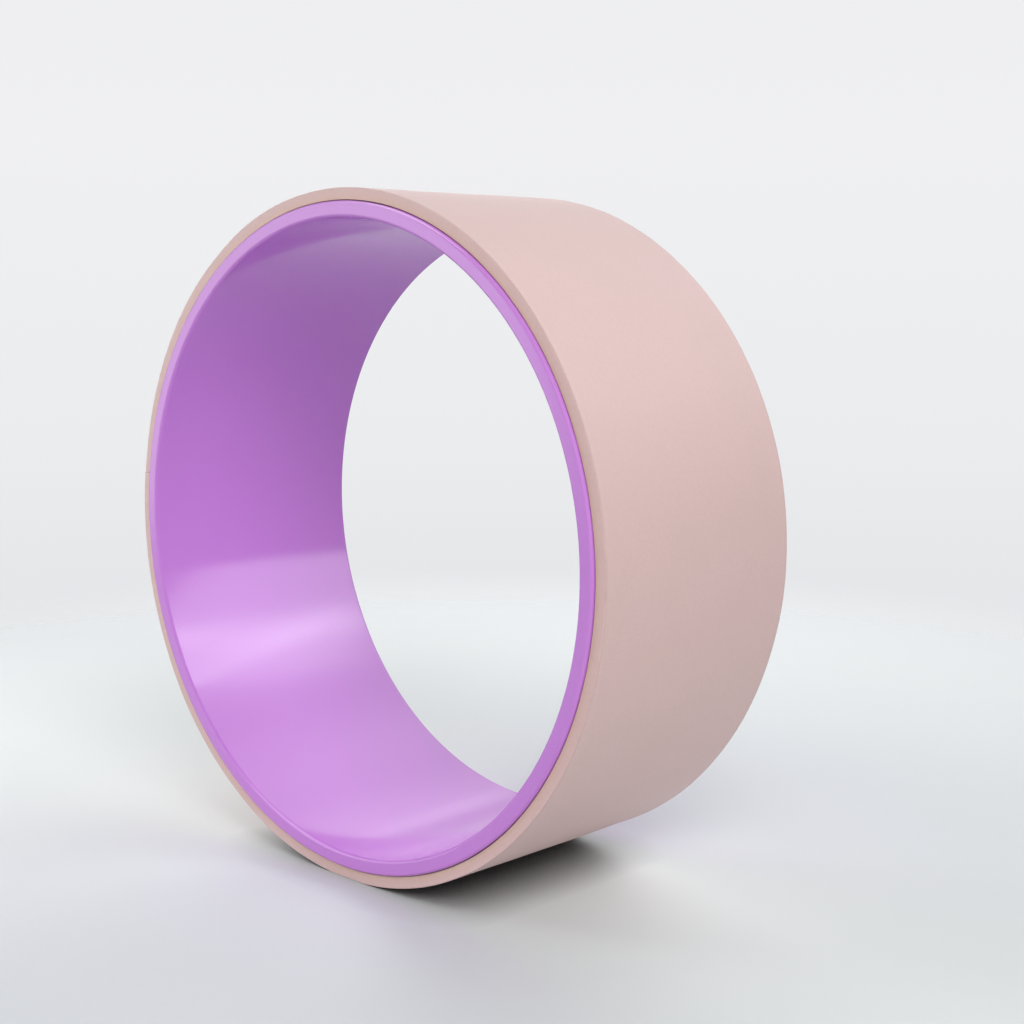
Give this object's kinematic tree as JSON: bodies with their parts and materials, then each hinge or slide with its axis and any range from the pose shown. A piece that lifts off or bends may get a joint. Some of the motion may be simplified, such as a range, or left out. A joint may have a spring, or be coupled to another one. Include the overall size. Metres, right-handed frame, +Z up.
{
  "type": "back roller wheel",
  "caption": "Open rigid plastic hoop with a foam tread bonded round it, rolled under the back or held in stretching and balance exercise.",
  "frame": {"origin": "centre of the wheel, on its axle line and midway between its two rims", "axes": "+Y along the axle line, +Z up with the wheel standing on its tread, +X forwards in the direction of rolling"},
  "size_m": [0.3299, 0.13, 0.3296],
  "materials": {
    "hoop_plastic": "gloss",
    "adhesive": "satin",
    "tread_foam": "matte"
  },
  "bodies": {
    "root": {"hoop": "hoop_plastic", "adhesive_film": "adhesive", "tread": "tread_foam"}
  },
  "joints": []
}
